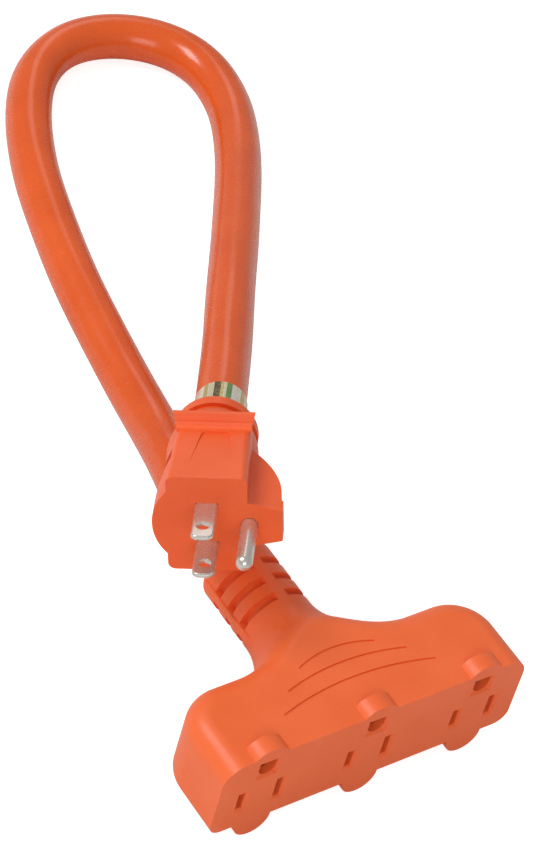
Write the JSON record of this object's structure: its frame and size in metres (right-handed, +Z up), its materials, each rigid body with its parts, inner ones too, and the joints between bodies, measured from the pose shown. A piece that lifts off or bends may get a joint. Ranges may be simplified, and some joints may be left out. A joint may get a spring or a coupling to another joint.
{
  "type": "extension cord",
  "caption": "Short heavy-duty orange extension cord: a moulded multi-outlet tap, a loop of thick round cord and a moulded grounded plug that lies across the tap.",
  "frame": {"origin": "under the middle of the tap, on the surface that its tabs and the cord rest on", "axes": "+X along the row of outlets, +Y from the outlet face back to the cord, +Z up"},
  "size_m": [0.1799, 0.3115, 0.0724],
  "materials": {
    "tap_vinyl": "moulded orange vinyl, satin",
    "cord_vinyl": "glossy orange vinyl",
    "plug_vinyl": "moulded orange vinyl, satin",
    "dark_block": "dark red moulded thermoplastic",
    "contact_brass": "stamped brass strip",
    "nickel_plate": "nickel-plated brass",
    "tinned_crimp": "tinned sleeve",
    "copper_strand": "bare stranded copper",
    "black_insulation": "black vinyl",
    "white_insulation": "white vinyl",
    "green_insulation": "green vinyl",
    "filler_twine": "paper and jute filler",
    "label_foil": "printed foil, no lettering"
  },
  "bodies": {
    "root": {"tap_overmould": "tap_vinyl", "socket_block": "dark_block", "block_cover": "dark_block", "line_bus": "contact_brass", "neutral_bus": "contact_brass", "ground_bus": "contact_brass", "line_tap_crimp": "tinned_crimp", "neutral_tap_crimp": "tinned_crimp", "ground_tap_crimp": "tinned_crimp", "cord_jacket": "cord_vinyl", "cord_fillers": "filler_twine", "cord_label": "label_foil", "line_insulation": "black_insulation", "neutral_insulation": "white_insulation", "ground_insulation": "green_insulation", "line_conductor": "copper_strand", "neutral_conductor": "copper_strand", "ground_conductor": "copper_strand", "plug_overmould": "plug_vinyl", "plug_bridge": "dark_block", "line_blade": "nickel_plate", "neutral_blade": "nickel_plate", "ground_pin": "nickel_plate", "line_plug_crimp": "tinned_crimp", "neutral_plug_crimp": "tinned_crimp", "ground_plug_crimp": "tinned_crimp"}
  },
  "joints": []
}
